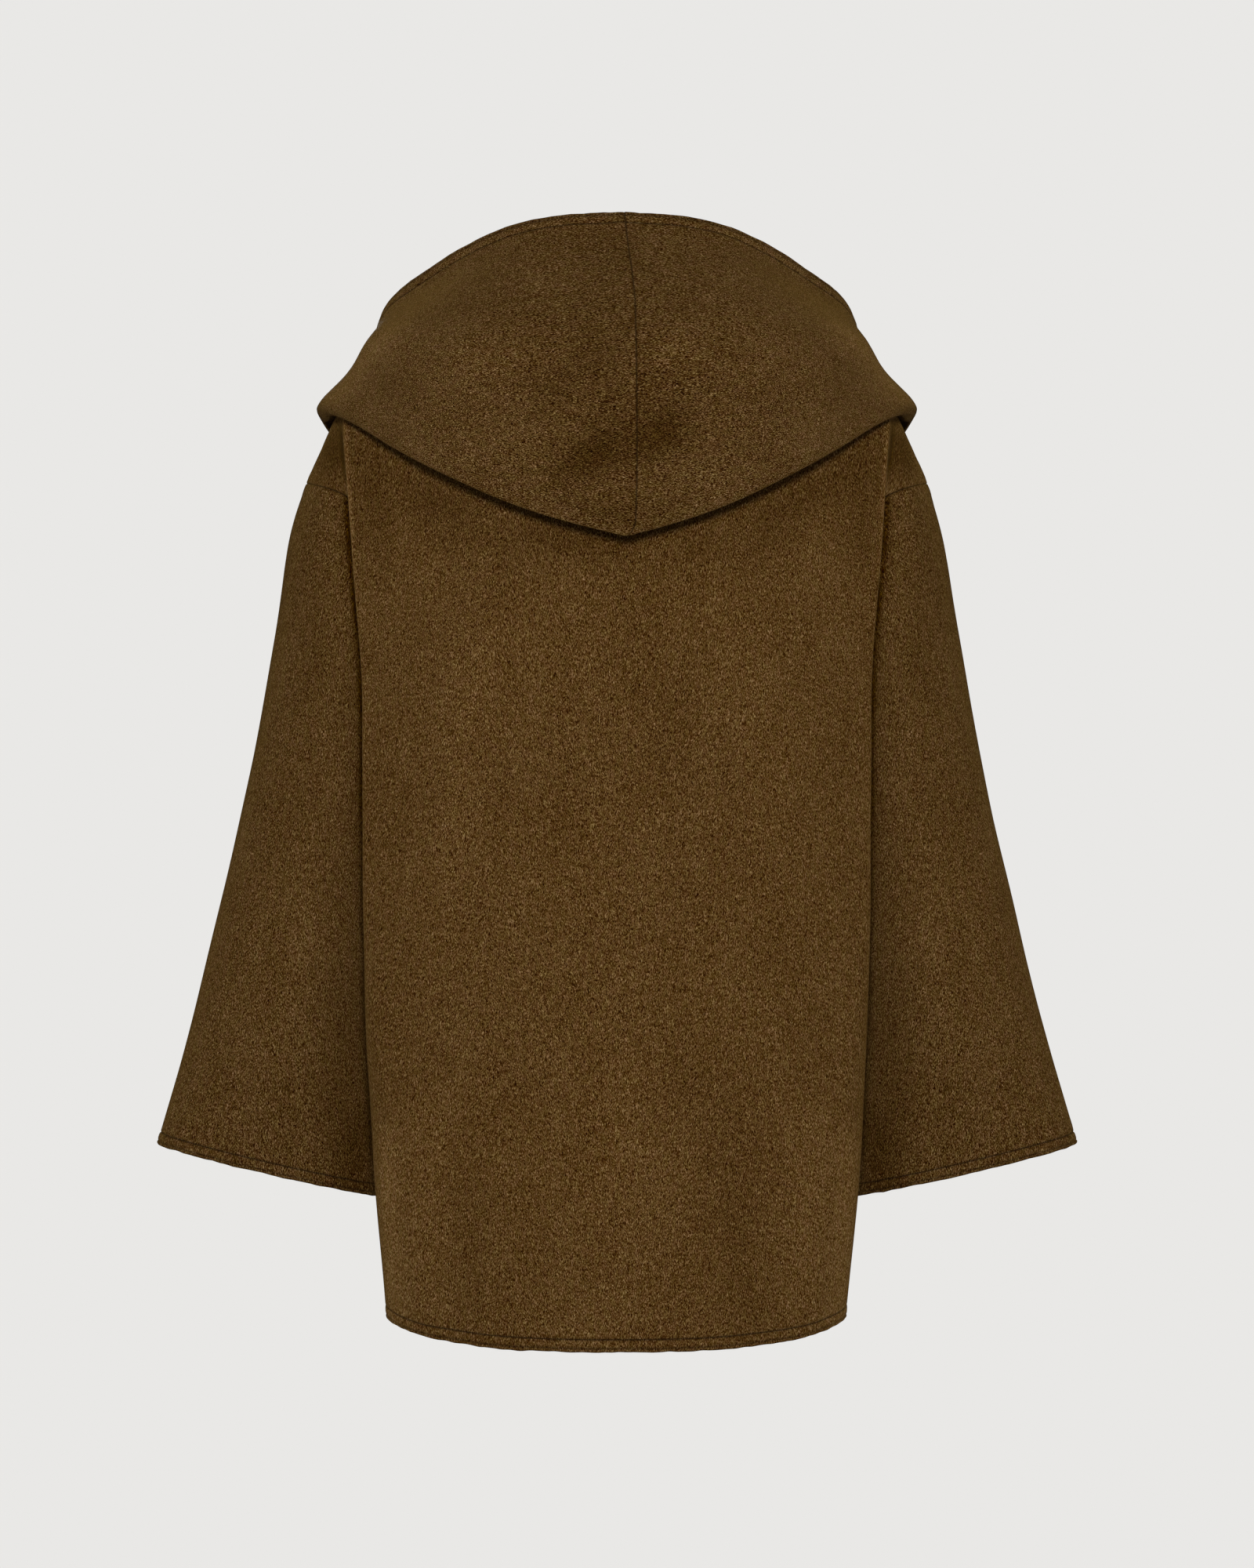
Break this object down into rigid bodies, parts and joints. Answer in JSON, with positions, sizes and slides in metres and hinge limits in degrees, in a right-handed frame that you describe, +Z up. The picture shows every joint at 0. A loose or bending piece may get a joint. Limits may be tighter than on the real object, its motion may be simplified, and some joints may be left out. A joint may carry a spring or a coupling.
{
  "type": "hooded short coat",
  "caption": "Hooded short coat in thick napped wool with wide bell sleeves and a big hood worn down, standing open and hollow as worn over the shoulders.",
  "frame": {"origin": "on the middle line between the two shoulder seams, at the height of the nape, where the wearer's shoulders carry the coat", "axes": "+Z up along the wearer's height, +Y towards the coat's back, +X towards the wearer's left sleeve"},
  "size_m": [0.709, 0.3605, 0.8398],
  "materials": {
    "body_wool": "double-faced wool, brushed nap, matt, dark olive brown",
    "sleeve_wool": "double-faced wool, brushed nap, matt, dark olive brown",
    "hood_wool": "double-faced wool, brushed nap, matt, dark olive brown"
  },
  "bodies": {
    "root": {"back": "body_wool", "front_left": "body_wool", "front_right": "body_wool", "sleeve_left": "sleeve_wool", "sleeve_right": "sleeve_wool", "hood_left": "hood_wool", "hood_right": "hood_wool"}
  },
  "joints": []
}
